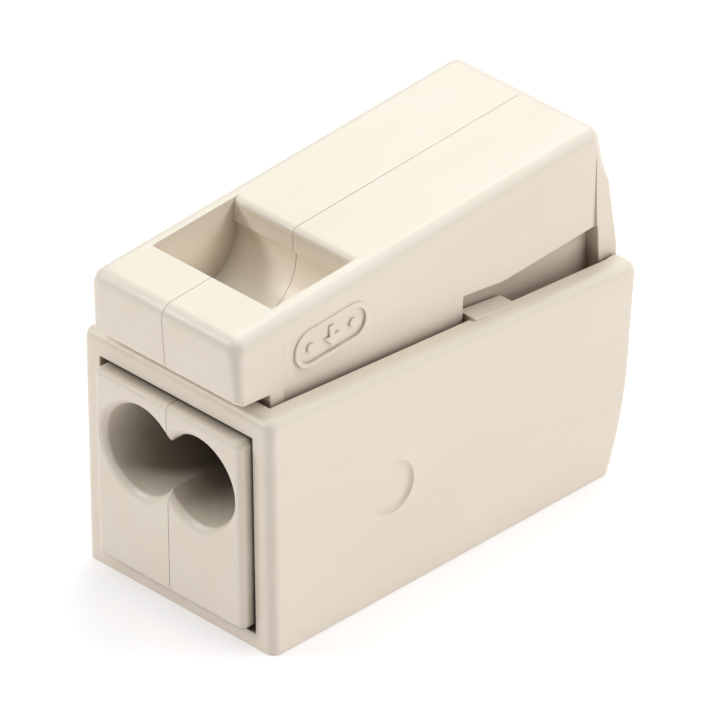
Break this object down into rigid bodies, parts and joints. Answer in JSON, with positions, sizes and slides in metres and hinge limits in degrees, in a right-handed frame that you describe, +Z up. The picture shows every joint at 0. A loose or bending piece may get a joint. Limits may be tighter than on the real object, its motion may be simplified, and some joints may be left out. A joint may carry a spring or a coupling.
{
  "type": "lever wire connector",
  "caption": "Ivory plastic lighting connector: figure-eight push-in wire entries in front, a cage clamp behind, opened by pressing the lever on top.",
  "frame": {"origin": "middle of the housing's flat bottom face", "axes": "+Z up towards the lever, +Y from the face with the two push-in entries towards the rear entry, +X to the right seen from the front"},
  "size_m": [0.0104, 0.021, 0.0152],
  "materials": {
    "ivory_plastic": "satin moulded polyamide, warm ivory",
    "tinned_copper": "tin-plated copper, fine brushed",
    "spring_steel": "rolled chrome-nickel spring steel"
  },
  "bodies": {
    "base": {"housing": "ivory_plastic", "entry_insert": "ivory_plastic", "current_bar": "tinned_copper", "push_wire_spring": "spring_steel", "cage_clamp_spring": "spring_steel"},
    "lever": {"operating_lever": "ivory_plastic"},
    "cage": {"cage_clamp_arm": "spring_steel"},
    "tongue_left": {"push_wire_tongue_left": "spring_steel"},
    "tongue_right": {"push_wire_tongue_right": "spring_steel"}
  },
  "joints": [
    {"name": "lever_press", "type": "hinge", "parent": "base", "child": "lever", "pos_m": [0, -0.00695, 0.0095], "axis": [-1, 0, 0], "range_deg": [0, 3.9], "stiffness_Nm_per_rad": 0.3, "springref_deg": -6.88},
    {"name": "cage_open", "type": "hinge", "parent": "base", "child": "cage", "pos_m": [0, 0.00125, 0.00764], "axis": [-1, 0, 0], "range_deg": [0, 19.2]},
    {"name": "tongue_left_lift", "type": "hinge", "parent": "base", "child": "tongue_left", "pos_m": [-0.00158, -0.00205, 0.0084], "axis": [1, 0, 0], "range_deg": [0, 36], "stiffness_Nm_per_rad": 0.02, "springref_deg": -20.05},
    {"name": "tongue_right_lift", "type": "hinge", "parent": "base", "child": "tongue_right", "pos_m": [0.00158, -0.00205, 0.0084], "axis": [1, 0, 0], "range_deg": [0, 36], "stiffness_Nm_per_rad": 0.02, "springref_deg": -20.05}
  ],
  "couplings": [
    {"joint": "cage_open", "follows": "lever_press", "ratio": 4.9}
  ]
}
